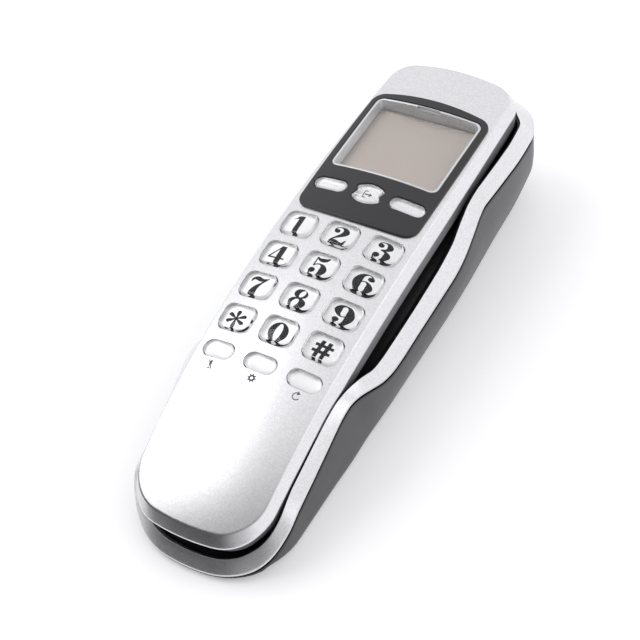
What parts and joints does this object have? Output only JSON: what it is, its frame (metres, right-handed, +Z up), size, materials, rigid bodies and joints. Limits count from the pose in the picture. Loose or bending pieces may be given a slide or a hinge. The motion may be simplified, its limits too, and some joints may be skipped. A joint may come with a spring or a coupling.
{
  "type": "slimline corded telephone",
  "caption": "Slim corded telephone: keypad handset with clock display, lying in a wedge cradle base that stands on feet or hangs on wall studs.",
  "frame": {"origin": "centre of the footprint, on the surface that the feet stand on", "axes": "+Y towards the earpiece end, +X to the right of someone who faces the keypad with the earpiece up, +Z up"},
  "size_m": [0.066, 0.2144, 0.0536],
  "materials": {
    "silver_paint": "silver metallic paint on ABS, fine flake",
    "dark_grey_plastic": "satin moulded dark grey ABS",
    "bezel_black": "satin near-black lacquer",
    "frame_silver": "bright silver paint",
    "clear_lens": "clear acrylic window",
    "lcd_glass": "segment display, beige-grey when off",
    "keypad_rubber": "light grey silicone",
    "board": "green solder mask",
    "capsule_plastic": "natural moulded plastic",
    "capsule_metal": "drawn aluminium can",
    "black_rubber": "soft black rubber",
    "black_plastic": "black moulded ABS",
    "screw_steel": "zinc plated steel",
    "ivory_plastic": "ivory moulded jack",
    "ringer_brass": "brass disc of the sounder",
    "ballast_iron": "cast block",
    "clear_key": "clear acrylic key, figure printed beneath"
  },
  "bodies": {
    "base": {"base_rim": "silver_paint", "cradle_tray": "black_plastic", "base_case": "dark_grey_plastic", "hook_spring": "screw_steel", "hook_switch": "black_plastic", "base_board": "board", "line_jack": "ivory_plastic", "cord_jack": "black_plastic", "ringer": "ringer_brass", "ringer_holder": "black_plastic", "ringer_switch": "capsule_metal", "ballast_weight": "ballast_iron", "rubber_feet": "black_rubber", "base_screws": "screw_steel"},
    "handset": {"handset_front_cover": "silver_paint", "handset_back_cover": "dark_grey_plastic", "display_bezel": "bezel_black", "display_frame": "frame_silver", "display_lens": "clear_lens", "lcd_module": "lcd_glass", "keypad_mat": "keypad_rubber", "handset_board": "board", "receiver": "capsule_plastic", "receiver_gasket": "black_rubber", "microphone": "capsule_metal", "microphone_boot": "black_rubber", "handset_jack": "black_plastic", "handset_screws": "screw_steel"},
    "hook_plunger": {"hook_plunger": "capsule_plastic"},
    "ringer_slider": {"ringer_slider": "black_plastic"},
    "key_1": {"key_1": "clear_key"},
    "key_2": {"key_2": "clear_key"},
    "key_3": {"key_3": "clear_key"},
    "key_4": {"key_4": "clear_key"},
    "key_5": {"key_5": "clear_key"},
    "key_6": {"key_6": "clear_key"},
    "key_7": {"key_7": "clear_key"},
    "key_8": {"key_8": "clear_key"},
    "key_9": {"key_9": "clear_key"},
    "key_star": {"key_star": "clear_key"},
    "key_0": {"key_0": "clear_key"},
    "key_hash": {"key_hash": "clear_key"},
    "mute_key": {"mute_key": "clear_key"},
    "set_key": {"set_key": "clear_key"},
    "redial_key": {"redial_key": "clear_key"},
    "left_display_key": {"left_display_key": "clear_key"},
    "middle_display_key": {"middle_display_key": "clear_key"},
    "right_display_key": {"right_display_key": "clear_key"}
  },
  "joints": [
    {"name": "handset_lift", "type": "slide", "parent": "base", "child": "handset", "axis": [0, -0.1288, 0.9917], "range_m": [0, 0.06]},
    {"name": "hook_slide", "type": "slide", "parent": "base", "child": "hook_plunger", "axis": [0, -0.1288, 0.9917], "range_m": [0, 0.004], "stiffness_N_per_m": 40, "springref_m": 0.004},
    {"name": "ringer_slide", "type": "slide", "parent": "base", "child": "ringer_slider", "axis": [0, -1, 0], "range_m": [0, 0.0035]},
    {"name": "key_1_press", "type": "slide", "parent": "handset", "child": "key_1", "axis": [0, 0.1288, -0.9917], "range_m": [0, 0.0012], "stiffness_N_per_m": 450},
    {"name": "key_2_press", "type": "slide", "parent": "handset", "child": "key_2", "axis": [0, 0.1288, -0.9917], "range_m": [0, 0.0012], "stiffness_N_per_m": 450},
    {"name": "key_3_press", "type": "slide", "parent": "handset", "child": "key_3", "axis": [0, 0.1288, -0.9917], "range_m": [0, 0.0012], "stiffness_N_per_m": 450},
    {"name": "key_4_press", "type": "slide", "parent": "handset", "child": "key_4", "axis": [0, 0.1288, -0.9917], "range_m": [0, 0.0012], "stiffness_N_per_m": 450},
    {"name": "key_5_press", "type": "slide", "parent": "handset", "child": "key_5", "axis": [0, 0.1288, -0.9917], "range_m": [0, 0.0012], "stiffness_N_per_m": 450},
    {"name": "key_6_press", "type": "slide", "parent": "handset", "child": "key_6", "axis": [0, 0.1288, -0.9917], "range_m": [0, 0.0012], "stiffness_N_per_m": 450},
    {"name": "key_7_press", "type": "slide", "parent": "handset", "child": "key_7", "axis": [0, 0.1288, -0.9917], "range_m": [0, 0.0012], "stiffness_N_per_m": 450},
    {"name": "key_8_press", "type": "slide", "parent": "handset", "child": "key_8", "axis": [0, 0.1288, -0.9917], "range_m": [0, 0.0012], "stiffness_N_per_m": 450},
    {"name": "key_9_press", "type": "slide", "parent": "handset", "child": "key_9", "axis": [0, 0.1288, -0.9917], "range_m": [0, 0.0012], "stiffness_N_per_m": 450},
    {"name": "key_star_press", "type": "slide", "parent": "handset", "child": "key_star", "axis": [0, 0.1288, -0.9917], "range_m": [0, 0.0012], "stiffness_N_per_m": 450},
    {"name": "key_0_press", "type": "slide", "parent": "handset", "child": "key_0", "axis": [0, 0.1288, -0.9917], "range_m": [0, 0.0012], "stiffness_N_per_m": 450},
    {"name": "key_hash_press", "type": "slide", "parent": "handset", "child": "key_hash", "axis": [0, 0.1288, -0.9917], "range_m": [0, 0.0012], "stiffness_N_per_m": 450},
    {"name": "mute_key_press", "type": "slide", "parent": "handset", "child": "mute_key", "axis": [0, 0.1288, -0.9917], "range_m": [0, 0.0012], "stiffness_N_per_m": 450},
    {"name": "set_key_press", "type": "slide", "parent": "handset", "child": "set_key", "axis": [0, 0.1288, -0.9917], "range_m": [0, 0.0012], "stiffness_N_per_m": 450},
    {"name": "redial_key_press", "type": "slide", "parent": "handset", "child": "redial_key", "axis": [0, 0.1288, -0.9917], "range_m": [0, 0.0012], "stiffness_N_per_m": 450},
    {"name": "left_display_key_press", "type": "slide", "parent": "handset", "child": "left_display_key", "axis": [0, 0.1288, -0.9917], "range_m": [0, 0.0012], "stiffness_N_per_m": 450},
    {"name": "middle_display_key_press", "type": "slide", "parent": "handset", "child": "middle_display_key", "axis": [0, 0.1288, -0.9917], "range_m": [0, 0.0012], "stiffness_N_per_m": 450},
    {"name": "right_display_key_press", "type": "slide", "parent": "handset", "child": "right_display_key", "axis": [0, 0.1288, -0.9917], "range_m": [0, 0.0012], "stiffness_N_per_m": 450}
  ],
  "couplings": [
    {"joint": "hook_slide", "follows": "handset_lift", "ratio": 0.066667}
  ]
}
